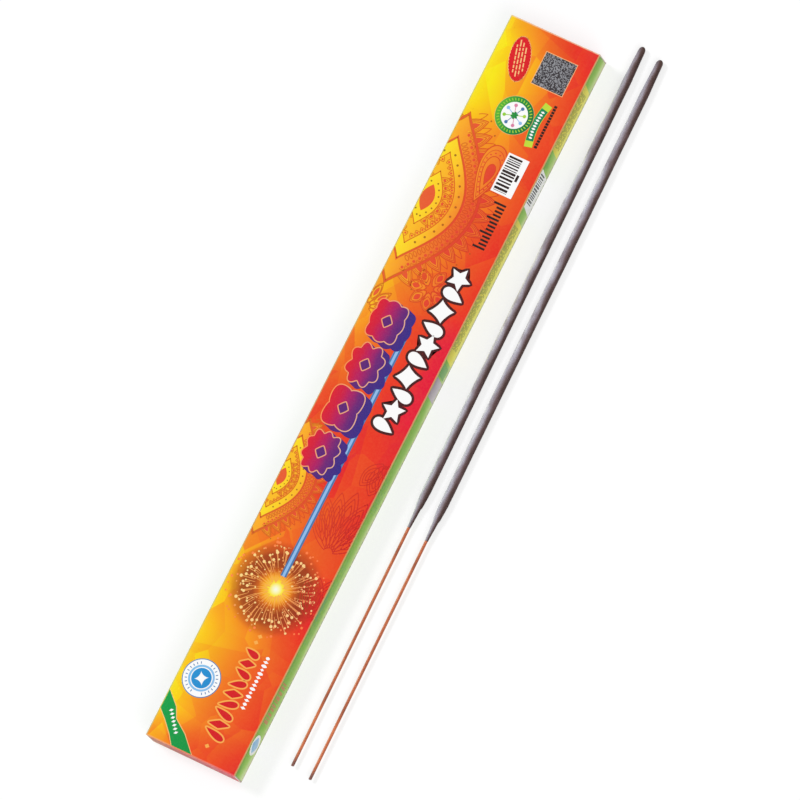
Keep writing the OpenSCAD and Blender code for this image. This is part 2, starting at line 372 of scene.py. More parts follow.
def eased(low, high, radius):
    """Coordinates across a board face, close together where its edges round over."""
    turns = [radius * (1 - cos(pi / 2 * k / BEND_STEPS)) for k in range(BEND_STEPS + 1)]
    flat = high - low - 2 * radius
    count = max(2, round(flat / BOARD_STEP))
    middle = [low + radius + flat * k / count for k in range(1, count)]
    return [low + t for t in turns] + middle + [high - t for t in reversed(turns)]


def sheet_of_board(name, place, spans, radius, slot, outside):
    """A closed sheet of board with rounded edges, a little under the CAD's face to leave room for ink.
    place(u, v, w) gives its points, and w is the depth under that face."""
    us, vs = (eased(*span, radius) for span in spans)

    def depth(u, v):
        sunk = 0.0
        for value, (low, high) in ((u, spans[0]), (v, spans[1])):
            near = min(value - low, high - value)
            if near < radius:
                sunk = max(sunk, radius - sqrt(max(0.0, radius**2 - (radius - near) ** 2)))
        return INK_ROOM + sunk

    rows = len(vs)
    points = [place(u, v, depth(u, v)) for u in us for v in vs]
    points += [place(u, v, BOARD) for u in us for v in vs]
    under = len(us) * rows
    faces, kinds = [], []
    for i in range(len(us) - 1):
        for j in range(rows - 1):
            a, b, c, d = i * rows + j, (i + 1) * rows + j, (i + 1) * rows + j + 1, i * rows + j + 1
            faces += [(a, b, c, d), (under + d, under + c, under + b, under + a)]
            kinds += [0, 1]
    rim = [i * rows for i in range(len(us))]
    rim += [(len(us) - 1) * rows + j for j in range(1, rows)]
    rim += [i * rows + rows - 1 for i in reversed(range(len(us) - 1))]
    rim += reversed(range(1, rows - 1))
    for a, b in zip(rim, rim[1:] + rim[:1]):
        faces.append((b, a, under + a, under + b))
        kinds.append(1)
    piece = new_piece(name, points, faces, slot, (outside, BARE), "carton")
    for polygon, kind in zip(piece.data.polygons, kinds):
        polygon.material_index = kind
        polygon.use_smooth = kind == 0
    # The whole sheet is turned inside out if its outer face looks inwards
    centre = sum((v.co for v in piece.data.vertices), Vector()) / len(piece.data.vertices)
    middle = piece.data.polygons[len(us) // 2 * (rows - 1) * 2]
    if middle.normal.dot(middle.center - centre) < 0:
        piece.data.flip_normals()
    return piece


# Outlines of the print, in millimetres: along from the top end, and across from the left edge or up the side
ARCH_STEPS, DROP_POINTS, LEAF_POINTS, STAR_PARTS = 16, 56, 40, 6


def circle(count):
    """Turns that share out a full circle."""
    return [tau * k / count for k in range(count)]


def part_way(p, q, share):
    return (p[0] + (q[0] - p[0]) * share, p[1] + (q[1] - p[1]) * share)


def direction(p, q):
    """The way from one point to another, as a step one long."""
    length = dist(p, q) or 1.0
    return ((q[0] - p[0]) / length, (q[1] - p[1]) / length)


def polar(centre, turn, radius):
    return (centre[0] + radius * cos(turn), centre[1] + radius * sin(turn))


def turned(centre, out, side, turn):
    """The point out and to the side of a centre, in directions that are turned."""
    return (centre[0] + out * cos(turn) - side * sin(turn), centre[1] + out * sin(turn) + side * cos(turn))


def beside(spot, side, out):
    """The point side along a line and out from it, where a spot is a place and the direction there."""
    place, way = spot
    return (place[0] + way[0] * side + way[1] * out, place[1] + way[1] * side - way[0] * out)


def rectangle(start, near, end, far):
    """An outline from a start to an end along, and from near to far across."""
    return [(start, near), (end, near), (end, far), (start, far)]


def superellipse(centre, half_along, half_across, power=2.0, turn=0.0, count=64):
    """A closed outline: a lozenge at power 1, an ellipse at 2, a star with hollow sides below 1."""
    outline = []
    for t in circle(count):
        out = half_along * copysign(abs(cos(t)) ** (2 / power), cos(t))
        side = half_across * copysign(abs(sin(t)) ** (2 / power), sin(t))
        outline.append(turned(centre, out, side, turn))
    return outline


def disc(centre, radius, count=10):
    return superellipse(centre, radius, radius, count=count)


def lobed(turn, lobes, swing, sharp):
    """A share of a radius, which swings with each lobe."""
    return 1 - swing * (1 - abs(cos(lobes * turn / 2)) ** sharp)


def flower(centre, radius, lobes, swing, sharp, count=144):
    return [polar(centre, t, radius * lobed(t, lobes, swing, sharp)) for t in circle(count)]


def lens(centre, half_length, half_width, power, count=72):
    """A closed outline with its points towards the carton's ends."""
    outline = []
    for side in (1, -1):
        for share in [cos(pi * k / (count // 2)) * side for k in range(count // 2)]:
            across = centre[1] + side * half_width * (1 - share * share) ** power
            outline.append((centre[0] + half_length * share, across))
    return outline


def star(centre, outer, inner, points, turn):
    """A closed star with straight sides."""
    corners = [polar(centre, pi * k / points + turn, inner if k % 2 else outer) for k in range(2 * points)]
    sides = zip(corners, corners[1:] + corners[:1])
    return [part_way(p, q, k / STAR_PARTS) for p, q in sides for k in range(STAR_PARTS)]


def drop(centre, half_length, half_width, turn, bend):
    """A closed drop with its point first, which leans over by bend towards that point."""
    outline = []
    for t in circle(DROP_POINTS):
        side = half_width * sin(t) * sin(t / 2) ** 1.1 + bend * (1 + cos(t)) ** 2 / 4
        outline.append(turned(centre, half_length * cos(t), side, turn))
    return outline


def arch(spot, half, tall, sharp=0.62):
    """A pointed arch that stands on a line."""
    shares = [2 * k / ARCH_STEPS - 1 for k in range(ARCH_STEPS + 1)]
    return [beside(spot, half * share, tall * (1 - abs(share)) ** sharp) for share in shares]


def leaf(centre, turn, start, length, width):
    """A pointed leaf that starts a little way out from a point."""
    upright = lens((start + length / 2, 0), length / 2, width / 2, 0.9, LEAF_POINTS)
    return [turned(centre, out, side, turn) for out, side in upright]


def grown(outline, amount):
    """The outline moved outwards by amount."""
    area = sum(p[0] * q[1] - q[0] * p[1] for p, q in zip(outline, outline[1:] + outline[:1]))
    sign = 1 if area > 0 else -1
    moved = []
    for i, (a, c) in enumerate(outline):
        along, across = direction(outline[i - 1], outline[(i + 1) % len(outline)])
        moved.append((a + sign * across * amount, c - sign * along * amount))
    return moved


def spaced(outline, step):
    """Spots a step apart round an outline, each as a place and the direction there."""
    line = [*outline, outline[0]]
    lengths = [dist(p, q) for p, q in zip(line, line[1:])]
    total = sum(lengths)
    count = max(1, round(total / step))
    spots, passed, i = [], 0.0, 0
    for k in range(count):
        want = total * (k + 0.5) / count
        while passed + lengths[i] < want:
            passed += lengths[i]
            i += 1
        place = part_way(line[i], line[i + 1], (want - passed) / lengths[i])
        spots.append((place, direction(line[i], line[i + 1])))
    return spots


def clip_fill(points, low, high):
    """The part of an outline inside a rectangle."""
    for axis in (0, 1):
        for limit, keep in ((low[axis], 1), (high[axis], -1)):
            kept = []
            for i, p in enumerate(points):
                q = points[i - 1]
                p_in, q_in = (p[axis] - limit) * keep >= 0, (q[axis] - limit) * keep >= 0
                if p_in != q_in:
                    kept.append(part_way(q, p, (limit - q[axis]) / (p[axis] - q[axis])))
                if p_in:
                    kept.append(p)
            points = kept
    return points


def clip_line(points, low, high):
    """The stretches of a line inside a rectangle."""
    runs, run = [], []
    for p, q in zip(points, points[1:]):
        start, end = 0.0, 1.0
        for axis in (0, 1):
            step = q[axis] - p[axis]
            if abs(step) < 1e-9:
                if not low[axis] <= p[axis] <= high[axis]:
                    start, end = 1.0, 0.0
                continue
            one, two = sorted(((low[axis] - p[axis]) / step, (high[axis] - p[axis]) / step))
            start, end = max(start, one), min(end, two)
        if start >= end:
            run = []
            continue
        if not run or start > 0:
            run = [part_way(p, q, start)]
            runs.append(run)
        run.append(part_way(p, q, end))
    return runs


MICRON, LEVELS = 0.0012, 8  # strokes lie this far apart on so many levels, so that few that cross share one


class Film:
    """Ink of one kind on one face, gathered into one mesh."""

    def __init__(self, name, material, face):
        self.name, self.material, self.face = name, material, face
        self.points, self.faces, self.count = [], [], 0

    def lay(self, outline, lift, rings):
        base = len(self.points)
        self.points += [self.face["place"](a, c, lift) for a, c in outline]
        self.faces += [tuple(base + i for i in ring) for ring in rings]

    def fill(self, outline, lift):
        kept = clip_fill(outline, self.face["low"], self.face["high"])
        if len(kept) > 2:
            self.lay(kept, lift, [range(len(kept))])

    def stroke(self, line, width, lift, closed=False, taper=1.0):
        if closed:
            line = [*line, line[0]]
        lift += MICRON * (self.count % LEVELS)
        self.count += 1
        for run in clip_line(line, self.face["low"], self.face["high"]):
            last = len(run) - 1
            whole = closed and len(run) == len(line)
            outline = []
            for i, (a, c) in enumerate(run):
                before = run[i - 1] if i else run[-2 if whole else 0]
                after = run[i + 1] if i < last else run[1 if whole else -1]
                along, across = direction(before, after)
                half = width / 2 * (1 + (taper - 1) * i / last)
                outline += [(a - across * half, c + along * half), (a + across * half, c - along * half)]
            self.lay(outline, lift, [(2 * i, 2 * i + 1, 2 * i + 3, 2 * i + 2) for i in range(last)])

    def finish(self):
        """Makes the film's piece, with all its faces outwards."""
        piece = new_piece(self.name, self.points, self.faces, self.face["slot"], [self.material], "carton")
        for polygon in piece.data.polygons:
            if polygon.normal.dot(Vector(self.face["outward"])) < 0:
                polygon.flip()
        piece.data.update()


# Materials shared by several pieces
ORANGE, CLOSURE, BACK, BARE = front_finish(), closure_finish(), back_finish(), board_finish()
GREEN = side_finish()
# Each ink's name, its reach and its colours along that reach
INK_COLOURS = (
    ("white", ACROSS, "FFFFFF", "FEFEFD"),
    ("black", ACROSS, "1E1212", "281616"),
    ("outline", (22, WIDTH), "3A1412", "4E0C18"),
    ("code_pale", ACROSS, "9EA0A4", "8C8C92"),
    ("code_dark", ACROSS, "424044", "322E32"),
    ("red", ACROSS, "E21624", "CE1A1E"),
    ("pale_line", ACROSS, "FFC882", "FFB882"),
    ("gold", ACROSS, "FDBA3C", "FAA85A"),
    ("rim", (4, 18), "FF9650", "E8B296"),
    ("navy", (8, 22), "682070", "4A227A", "302A88"),
    ("magenta", (4, 18), "E01A2C", "D2183E", "B01862", "702274", "4C227A"),
    ("green", (11, 27), "60BA34", "1C8C3E", "086C3A"),
    ("lime", (18, 32), "96D03C", "CEE23C"),
    ("teal", (26, 32), "14965A", "0C7050"),
    ("corner", (0, 20), "0AA048", "089240"),
    ("blue", (2, 16), "2696D6", "1E8ACE"),
    ("sky", (2, 18), "80C4EE", "92BEEC"),
    ("steel", (2, 19), "5C8CBA", "4A78AC"),
    ("pink", (12, 26), "E28CAA", "D678A0"),
    ("petal", (0, 30), "EA6030", "E84C2C", "DE3228"),
    ("band", (0, 22), "FFE422", "FFC822", "F89624", "F06E26"),
    ("outer_band", (1, 19), "FEB224", "F48424", "EC5C26"),
    ("orange_band", (2, 24), "FEC022", "FA9C22", "F06C24"),
    ("ornament", (2, 36), "DA7416", "E2581C", "DA3A20", "CE2220"),
    ("dot", (0, 20), "967814", "C4541A"),
    ("ray", ACROSS, "F4A854", "F0925A"),
    ("spark", ACROSS, "FFDE8C", "FFCC8C"),
    ("ember", ACROSS, "FF8C46", "FF7846"),
    ("patch", UP, "F8F48C", "F4EC54", "DED438", "C8BE2C"),
    ("olive", UP, "B0B446", "6E8022"),
    ("plum", UP, "DED6DA", "968896"),
    ("side_white", UP, "FFFFFC", "F8FAF8"),
    ("side_dark", UP, "606864", "363A3E"),
    ("moss", UP, "96C478", "4A963C"),
    ("rust", UP, "CEA060", "B2743C"),
    ("side_blue", UP, "BAD8F0", "6EB4E2"),
)
INKS = {ink: ink_finish(ink + "_ink", reach, stops) for ink, reach, *stops in INK_COLOURS}


def side_face(edge, sign):
    """Where print goes on a side. Its corners are given along and up, and sign is 1 on the right."""
    return {
        "place": lambda along, up, lift: (edge - sign * INK_ROOM + sign * lift, TOP - along, up),
        "low": (TOP - side_high.y + SIDE_MARGIN, side_low.z + SIDE_MARGIN),
        "high": (TOP - side_low.y - SIDE_MARGIN, side_high.z - SIDE_MARGIN),
        "outward": (sign, 0, 0),
        "slot": "green_print",
    }


FACES = {
    "front": {
        "place": lambda along, across, lift: (LEFT + across, TOP - along, FRONT - INK_ROOM + lift),
        "low": (PRINT_MARGIN, PRINT_MARGIN),
        "high": (LENGTH - PRINT_MARGIN, WIDTH - PRINT_MARGIN),
        "outward": (0, 0, 1),
        "slot": "orange_print",
    },
    "right": side_face(RIGHT, 1),
    "left": side_face(LEFT, -1),
}

# Sheets of board in place of the front panel and of both side panels
front_spans = ((LEFT, RIGHT), (BOTTOM, TOP))
side_spans = ((side_low.y, side_high.y), (side_low.z, side_high.z))
for name, place, spans, radius, slot, outside in (
    ("front", lambda u, v, w: (u, v, FRONT - w), front_spans, ROLL, "orange_print", ORANGE),
    ("right_side", lambda u, v, w: (RIGHT - w, u, v), side_spans, SIDE_ROLL, "green_print", GREEN),
    ("left_side", lambda u, v, w: (LEFT + w, u, v), side_spans, SIDE_ROLL, "green_print", GREEN),
):
    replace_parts(sheet_of_board(name + "_board", place, spans, radius, slot, outside), name + "_panel")

# A crease's printed skin lies a little under the rolled edge and starts so many degrees from its top
SKIN_SUNK, SKIN_START, SKIN_STEPS = 0.012, 5, 48
# Ends of both skins, out of the fold's corner and up from the closure's top. BARE_END is up from the front
SKIN_END, BARE_START, BARE_END, BARE_STEPS = (-0.004, -0.004), (-0.1, -0.005), (-0.29, -0.25), 24
BEND_SPAN = (-0.02, 0.042)  # out of the fold's corner, and down from it


def crease(end, edge, outwards):
    """The bend of board from the front panel into a closure.
    Its section, given out and up from the fold's outer corner, is a printed skin and a bare one inside."""
    closure_low, closure_high = box_in_mm(end + "_closure_panel")
    closure_top = closure_high.z - FRONT
    turns = [radians(SKIN_START + (90 - SKIN_START) * k / SKIN_STEPS) for k in range(SKIN_STEPS + 1)]
    radius = ROLL - SKIN_SUNK
    printed = [(radius * sin(t) - ROLL, radius * cos(t) - ROLL - INK_ROOM) for t in turns]
    printed.append((SKIN_END[0], closure_top + SKIN_END[1]))
    bare_start = (BARE_START[0], closure_top + BARE_START[1])
    ring = printed + [part_way(bare_start, BARE_END, k / BARE_STEPS) for k in range(BARE_STEPS + 1)]
    count = len(ring)
    ends = (closure_low.x, closure_high.x)
    points = [(x, edge + outwards * out, FRONT + up) for x in ends for out, up in ring]
    faces = [(k, (k + 1) % count, count + (k + 1) % count, count + k) for k in range(count)]
    faces += [tuple(range(count)), tuple(range(count, 2 * count))]
    piece = new_piece(end + "_crease", points, faces, "orange_print", (ORANGE, BARE))
    for polygon in piece.data.polygons:
        polygon.use_smooth = polygon.index < len(printed) - 1
        polygon.material_index = 0 if polygon.use_smooth else 1
    shape = bmesh.new()
    shape.from_mesh(piece.data)
    bmesh.ops.recalc_face_normals(shape, faces=shape.faces)
    shape.to_mesh(piece.data)
    shape.free()
    # Ends of a narrow stretch about the fold's own diagonal
    start_point, end_point = (Vector((0, edge + outwards * way, FRONT - way)) * MM for way in BEND_SPAN)
    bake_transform(piece)
    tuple(start_point)
    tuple(end_point)


crease("top", TOP, 1)
crease("bottom", BOTTOM, -1)

# The CAD's own solids keep their shape, and their finish goes by the end of their names
NODE_FINISHES = {"back_panel": BACK, "closure_panel": CLOSURE, "tongue": BARE, "_flap": BARE}
for node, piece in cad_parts.items():
    for ending, finish in NODE_FINISHES.items():
        if node.endswith(ending):
            piece.data.materials.clear()
            piece.data.materials.append(finish)

# Front print. Places are along and across, and a fill or a stroke ends with its height above the board
films = {}
LINES = 0.046  # height of the ornament's lines
OVER = 0.062  # height from which motifs may lie over the medallions
TINY = 0.0014  # fills of one kind that may cross lie this much apart


def film(ink, face="front"):
    if (ink, face) not in films:
        films[ink, face] = Film(face + "_" + ink + "_ink", INKS[ink], FACES[face])
    return films[ink, face]


def stack(lift, step, *layers, face="front"):
    """Fills over each other, a step apart, each given as its ink and its outline."""
    for k, (ink, outline) in enumerate(layers):
        film(ink, face).fill(outline, lift + step * k)


def ornament(outline, weight, lift=LINES, closed=True):
    film("ornament").stroke(outline, weight, lift, closed=closed)


def medallion(centre, size):
    """A traditional line ornament: pointed bands about a petal, with dots, arches and loops between them."""
    fine, plain, bold = 0.22, 0.3, 0.4

    def band(length, width, power=1.25):
        return lens(centre, length * size, width * size, power)

    def row(length, width, step):
        """Spots along a band, but for its crowded tips."""
        spots = spaced(band(length, width), step * size)
        return [spot for spot in spots if abs(spot[0][1] - centre[1]) > 0.16 * width * size]

    def vault(spot, half, tall, weight, sharp=0.62):
        ornament(arch(spot, half * size, tall * size, sharp), weight, closed=False)

    def bead(ink, spot, side, out, radius, lift=0.04):
        film(ink).fill(disc(beside(spot, side * size, out * size), radius * size), lift)

    inner, middle, wide, outer, edge = (11.4, 5.4), (19.6, 9.8), (26.0, 13.8), (35.6, 19.4), (37, 20.5)
    stack(
        0.004, 0.006, ("petal", band(*edge)), ("outer_band", band(*outer)), ("petal", band(27.0, 14.6)),
        ("band", band(*wide)), ("orange_band", band(*middle)), ("band", band(*inner)),
        ("petal", band(5.6, 2.7, 1.0)),
    )
    for form, weight in ((inner, 0.36), (middle, 0.34), (wide, bold), (outer, 0.36), (edge, fine)):
        ornament(band(*form), weight)
    for length, width, step, radius in ((8.6, 4.2, 2.6, 0.36), (22.6, 11.9, 4.2, 0.46)):
        for spot in row(length, width, step):
            bead("dot", spot, 0, 0, radius, 0.058)
    # Pointed arches stand on the inner line, each about a red seed
    for spot in row(11.8, 5.6, 3.0):
        vault(spot, 1.35, 3.5, plain)
        vault(spot, 0.8, 2.2, fine)
        bead("petal", spot, 0, 0.85, 0.55)
    # Lace hangs from the next line towards them
    for spot in row(19.0, 9.5, 2.3):
        vault(spot, 1.05, -1.7, 0.26, 0.55)
        bead("petal", spot, 0, -0.6, 0.42)
    # Loops stand side by side in the wide band, under a row of beads
    for spot in row(27.0, 14.6, 1.75):
        loop = [beside(spot, sin(t) * 0.6 * size, (1.45 - 1.15 * cos(t)) * size) for t in circle(20)]
        ornament(loop, plain)
    for spot in row(33.4, 17.8, 2.5):
        bead("petal", spot, 0, 0, 0.6)
        vault(spot, 1.15, 1.4, 0.26, 0.5)
        bead("band", spot, 1.25, 0.2, 0.3)
    # Petals open outwards from the last line, with smaller ones between their points
    for spot in row(*edge, 6.0):
        film("orange_band").fill(arch(spot, 2.8 * size, 6.2 * size), 0.007)
        film("petal").fill(arch(spot, 1.2 * size, 2.9 * size), 0.034)
        for half, tall, weight in ((2.8, 6.2, bold), (2.25, 5.2, 0.24), (1.7, 4.0, plain)):
            vault(spot, half, tall, weight)
        bead("dot", spot, 0, 7.2, 0.34, 0.058)
        vault((beside(spot, 3.0 * size, 3.2 * size), spot[1]), 1.1, 3.4, 0.26)


def leaf_fan(centre, reach, leaves, spread, heading, weight=0.3):
    """Long leaves that open from one point, drawn in lines."""
    for k in range(leaves):
        away = k - (leaves - 1) / 2
        turn, length = heading + spread * away / (leaves - 1), reach * (1 - 0.07 * abs(away))
        width = 1.15 * length * spread / (leaves - 1)
        for start, share, wide in ((0.14, 0.86, 1.0), (0.3, 0.6, 0.66), (0.46, 0.34, 0.34)):
            ornament(leaf(centre, turn, length * start, length * share, width * wide), weight)


def leaf_spray(centre, reach, leaves, spread, heading):
    """Filled leaves that open from one point, each with a red seed."""
    for k in range(leaves):
        turn = heading + spread * (k / (leaves - 1) - 0.5)
        width = 0.6 * reach * spread / (leaves - 1)
        shares = ((0.16, 0.84, 1.0), (0.46, 0.36, 0.46), (0.34, 0.58, 0.74))
        whole, seed, inner = (leaf(centre, turn, a * reach, b * reach, c * width) for a, b, c in shares)
        film("orange_band").fill(whole, 0.006 + TINY * k)
        film("petal").fill(seed, 0.03 + TINY * k)
        ornament(whole, 0.38)
        ornament(inner, 0.26)


def paisley(centre, half_length, half_width, turn, bend):
    """A filled drop of nested lines about a red seed, over the medallion's petals."""

    def nested(share):
        return drop(centre, half_length * share, half_width * share, turn, bend * share)

    stack(OVER, 0.006, ("orange_band", nested(1.0)), ("petal", nested(0.36)))
    for share, weight in ((1.0, 0.4), (0.84, 0.24), (0.62, 0.34), (0.36, 0.26)):
        ornament(nested(share), weight, OVER + 0.012)
    for place, _ in spaced(nested(0.73), 1.9):
        film("petal").fill(disc(place, 0.32), OVER + 0.006)


# Medallions: their centre and size. The paisley: its centre, half length, half width, turn and bend
medallion((76.0, 3.0), 0.98)
medallion((194.0, 1.6), 0.66)
paisley((58.5, 20.6), 11.6, 6.4, 0.12, -2.4)
# Leaves: their centre, reach, number, spread and heading, and the weight of their lines
leaf_fan((214.5, 31.0), 27, 7, 1.3, pi)
leaf_fan((172.0, 35.5), 16, 5, 1.5, 0.35, 0.26)
leaf_fan((240.0, 36.0), 20, 6, 1.4, pi * 0.92, 0.24)
leaf_spray((123.0, 0.5), 11.0, 5, 1.9, pi * 0.78)
leaf_spray((107.0, 20.0), 8.6, 7, 5.1, 0.25)

# Square with a field of random modules, near the top
rng = random.Random(11)
CODE_ALONG, CODE_ACROSS, CODE_SIDE, CODE_COUNT, DARK_SHARE = 7.4, 18.9, 13.0, 39, 0.56
square = rectangle(CODE_ALONG, CODE_ACROSS, CODE_ALONG + CODE_SIDE, CODE_ACROSS + CODE_SIDE)
stack(0.008, 0.012, ("pale_line", grown(square, 0.36)), ("code_pale", square))
module = CODE_SIDE / CODE_COUNT
for i in range(CODE_COUNT):
    for j in range(CODE_COUNT):
        if rng.random() < DARK_SHARE:
            a, c = CODE_ALONG + i * module, CODE_ACROSS + j * module
            film("code_dark").fill(rectangle(a, c, a + module, c + module), 0.032)


def random_spans(chance, start, end, least, most, gap):
    """Spans of random lengths from start to end, each as its two ends, with gaps that a function gives."""
    while start < end:
        length = chance.uniform(least, most)
        yield start, min(start + length, end)
        start += length + gap()


def bars(chance, ink, start, end, near, far, lift, least, most, face="front"):
    """Bars across a label, of random widths and gaps."""
    for a, b in random_spans(chance, start, end, least, most, lambda: chance.uniform(least, most * 0.7)):
        film(ink, face).fill(rectangle(a, near, b, far), lift)


# Scalloped oval with plain dashes
OVAL, OVAL_TURN, OVAL_LENGTH, OVAL_WIDTH = (14.1, 10.7), radians(16.5), 8.8, 4.15
scallops = flower((0, 0), 1.0, 40, 0.06, 0.8, 400)
oval = [turned(OVAL, a * OVAL_LENGTH, c * OVAL_WIDTH, OVAL_TURN) for a, c in scallops]
stack(0.01, 0.012, ("pale_line", grown(oval, 0.16)), ("red", oval))
for row, half in ((-1.8, 5.4), (-0.6, 7.4), (0.6, 6.4), (1.8, 4.6)):
    for ends in random_spans(rng, -half, half, 0.9, 2.6, lambda: 0.5):
        film("pale_line").stroke([turned(OVAL, end, row, OVAL_TURN) for end in ends], 0.5, 0.036)

# Green ring about a pale field with sprigs, and a plain ribbon and dashes beneath it
RING, RIBBON_STEPS = (34.3, 18.8), 30
RIBBON_START, RIBBON_LENGTH, RIBBON_ACROSS, RIBBON_RISE = 25.4, 17.6, 29.0, 1.3
DASH_START, DASH_PITCH, DASH_ACROSS, DASH = 24.6, 1.2, 31.7, 0.95
rings = [disc(RING, radius, 64) for radius in (7.6, 7.45, 5.2)]
stack(OVER, 0.008, *zip(("pale_line", "green", "white"), rings))
for t in circle(34):
    film("lime").stroke([polar(RING, t, 5.8), polar(RING, t + 0.03, 6.8)], 0.42, OVER + 0.024)
for t, ink in zip(circle(8), ("pink", "sky", "lime", "steel") * 2):
    sprig = [polar(RING, t + 0.3, radius) for radius in (1.0, 3.9)]
    film(ink).stroke(sprig, 0.3, OVER + 0.024)
    film(ink).fill(disc(sprig[1], 0.7), OVER + 0.036)
film("green").fill(flower(RING, 1.5, 6, 0.4, 0.8), OVER + 0.036)
ribbon = []
for k in range(RIBBON_STEPS + 1):
    rise = RIBBON_RISE * sin(pi * k / RIBBON_STEPS)
    ribbon.append((RIBBON_START + RIBBON_LENGTH * k / RIBBON_STEPS, RIBBON_ACROSS - rise))
film("lime").stroke(ribbon, 3.2, 0.008)
film("teal").stroke(ribbon[4:27], 2.9, 0.03)
for place in ribbon[6:26:2]:
    film("white").fill(superellipse(place, 0.42, 0.8, 1.2, count=12), 0.044)
for k in range(15):
    a = DASH_START + DASH_PITCH * k
    film("black").stroke([(a, DASH_ACROSS), (a + DASH, DASH_ACROSS)], 1.2, 0.02)

# Label of bars
LABEL_START, LABEL_NEAR, LABEL_END, LABEL_FAR = 47.8, 23.6, 63.6, 32.3
BAR_LIFT = OVER + 0.042
film("white").fill(rectangle(LABEL_START, LABEL_NEAR, LABEL_END, LABEL_FAR), OVER + 0.03)
bars(rng, "black", LABEL_START + 0.8, LABEL_END - 0.8, LABEL_NEAR + 0.7, LABEL_FAR - 2.5, BAR_LIFT, 0.34, 1.0)
foot_bar = rectangle(LABEL_START + 6.5, LABEL_FAR - 2.0, LABEL_START + 9.2, LABEL_FAR - 1.0)
film("black").fill(foot_bar, BAR_LIFT)

# Scale of fine ticks, like a ruler's
SCALE_START, SCALE_PITCH, SCALE_FOOT, TICK = 66.6, 1.5, 32.0, 0.8
for k in range(13):
    a, tall = SCALE_START + SCALE_PITCH * k, 3.2 if k % 4 else 5.0
    film("black").fill(rectangle(a, SCALE_FOOT - tall, a + TICK, SCALE_FOOT), OVER)

# Pale blue rod between the burst and the bold shapes
ROD_START, ROD_END, ROD_MIDDLE = 124.0, 227.6, 19.8
for ink, near, far, lift in (("steel", 1.2, 1.2, -0.004), ("sky", 0.55, 0.45, 0.003)):
    film(ink).fill(rectangle(ROD_START, ROD_MIDDLE - near, ROD_END, ROD_MIDDLE + far), OVER + lift)

# Row of bold shapes with pale gold rims and dark sides
BOLD_ALONG, BOLD_ACROSS, BOLD_MIDDLE = 8.6, 7.1, 10.9
SIDE_STEPS, SIDE_ALONG, SIDE_ACROSS, RIM = 9, 1.2, 3.4, 0.42


def cushion(centre, square, lobes, swing, sharp, turn):
    """A closed outline in the bold box: rounder or squarer, with lobes about it."""
    outline = []
    for t in circle(160):
        box = (abs(cos(t)) ** square + abs(sin(t)) ** square) ** (-1 / square)
        r = box * lobed(t - turn, lobes, swing, sharp)
        outline.append((centre + r * cos(t) * BOLD_ALONG, BOLD_MIDDLE + r * sin(t) * BOLD_ACROSS))
    return outline


# Each shape's centre along, how square it is, and its lobes: their count, swing, sharpness and turn
BOLD_SHAPES = (
    (124.7, 3.6, 8, 0.12, 1.0, 0.0),
    (142.9, 3.0, 8, 0.2, 1.2, pi / 8),
    (161.0, 3.8, 4, 0.15, 0.6, pi / 4),
    (179.5, 3.0, 10, 0.17, 1.2, 0.0),
)
for centre, *form in BOLD_SHAPES:
    shape = cushion(centre, *form)
    hole = superellipse((centre, BOLD_MIDDLE), 2.3, 2.0, 1.1, count=48)
    for k in range(SIDE_STEPS):
        share = k / (SIDE_STEPS - 1)
        moved = [(a + SIDE_ALONG * share, c + SIDE_ACROSS * share) for a, c in shape]
        film("navy").fill(moved, OVER + 0.006 + MICRON * k)
    rims = (("rim", shape), ("magenta", grown(shape, -RIM)), ("rim", grown(hole, RIM)), ("navy", hole))
    stack(OVER + 0.022, 0.008, *rims)

# Row of white stars, drops and sparkles with dark outlines
STAR_START, STAR_PITCH, STAR_ACROSS, STAR_SWING = 99.0, 6.9, 28.5, 0.7
for k in range(10):
    place = (STAR_START + STAR_PITCH * k, STAR_ACROSS + STAR_SWING * sin(k * 1.9))
    if k % 4 == 0:
        white = star(place, 4.7, 2.3, 5, 0.3 + k)
    elif k % 4 == 2:
        white = superellipse(place, 4.6, 4.9, 0.8, 0.35, 96)
    else:
        white = drop(place, 4.4, 2.9, 1.2 if k % 4 == 1 else -1.9, 0.8)
    film("outline").fill(grown(white, 1.0), OVER + TINY * (k % 2))
    film("white").fill(white, OVER + 0.014)


def scattered(near, far):
    """A random place about the burst."""
    return polar(BURST, rng.uniform(0, tau), rng.uniform(near, far))


# Burst of rays with bright ends, and loose sparks between and beyond them
GOLD_RAYS, RAYS, SPARKS, EMBERS, RAY_BEND = 64, 72, 150, 44, 0.01
for k in range(GOLD_RAYS):
    t = tau * (k + rng.uniform(-0.5, 0.5)) / GOLD_RAYS
    start, end = rng.uniform(2.4, 4.0), rng.uniform(5.4, 9.8)
    film("gold").stroke([polar(BURST, t, start), polar(BURST, t + 0.02, end)], 0.36, 0.012, taper=0.2)
for k in range(RAYS):
    t = tau * (k + rng.uniform(-0.5, 0.5)) / RAYS
    start = rng.uniform(6.0, 11.0)
    end = min(start + rng.uniform(2.6, 7.5), rng.uniform(14.0, 17.4))
    ray = [polar(BURST, t + RAY_BEND * (r - start), r) for r in (start, (start + end) / 2, end)]
    film("ray").stroke(ray, 0.18, 0.024, taper=1.9)
    film("spark").fill(disc(ray[-1], rng.uniform(0.34, 0.66)), 0.036 + TINY * (k % 4))
for k in range(SPARKS):
    dot = disc(scattered(6.0, 16.8), rng.uniform(0.16, 0.4))
    film("ray" if k % 3 else "spark").fill(dot, 0.044 + TINY * (k % 6))
for k in range(EMBERS):
    dot = disc(scattered(15.6, 19.6), rng.uniform(0.3, 0.55))
    film("ember").fill(dot, 0.034 + TINY * (k % 4))

